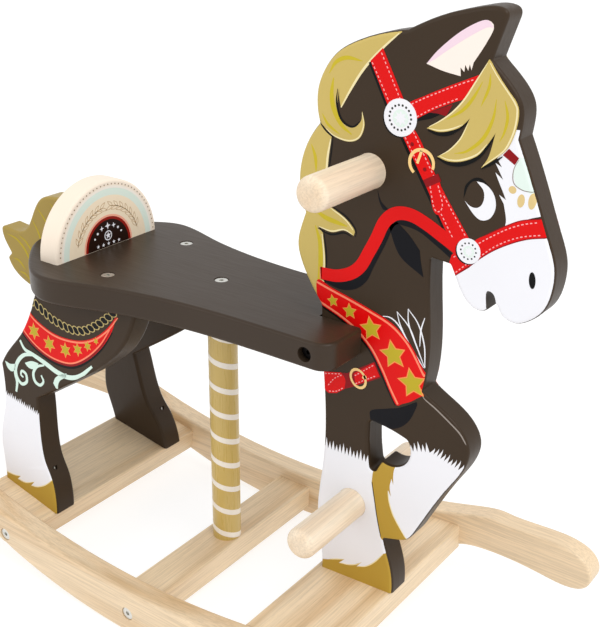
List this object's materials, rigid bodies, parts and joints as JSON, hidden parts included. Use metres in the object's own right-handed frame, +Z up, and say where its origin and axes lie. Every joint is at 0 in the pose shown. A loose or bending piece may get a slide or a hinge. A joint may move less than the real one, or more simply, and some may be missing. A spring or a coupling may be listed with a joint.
{
  "type": "rocking horse",
  "caption": "Child's wooden rocking horse: flat profiled boards on curved rockers, with a backrest seat, centre pole, grab handle and footrest.",
  "frame": {"origin": "on the floor, below the middle of the rockers' length and width", "axes": "+X towards the nose, +Y towards the horse's left side, +Z up"},
  "size_m": [0.732, 0.2816, 0.5753],
  "materials": {
    "pale_wood": "satin",
    "painted_board": "satin",
    "gold_painted_wood": "satin",
    "cream_painted_wood": "satin",
    "pole_wood": "satin",
    "steel": "brushed",
    "black_steel": "satin",
    "dowel_wood": "plain"
  },
  "bodies": {
    "root": {"rocker_right": "pale_wood", "rocker_left": "pale_wood", "rear_plank": "pale_wood", "middle_bar": "pale_wood", "front_plank": "pale_wood", "front_board": "painted_board", "haunch_board_right": "painted_board", "haunch_board_left": "painted_board", "seat": "painted_board", "backrest": "cream_painted_wood", "tail": "gold_painted_wood", "centre_pole": "gold_painted_wood", "handle": "pole_wood", "footrest": "pole_wood", "rocker_bolts_right": "steel", "rocker_bolts_left": "steel", "plank_barrel_nuts": "steel", "middle_bar_pins": "dowel_wood", "front_foot_screws": "steel", "rear_foot_screws_right": "steel", "rear_foot_screws_left": "steel", "seat_bolts": "steel", "haunch_barrel_nuts": "steel", "pole_top_bolt": "steel", "pole_insert": "steel", "pole_bottom_screw": "steel", "seat_cross_bolt": "black_steel", "seat_cross_nut": "black_steel", "backrest_pins": "dowel_wood", "backrest_screws": "steel", "tail_pins": "dowel_wood"}
  },
  "joints": []
}
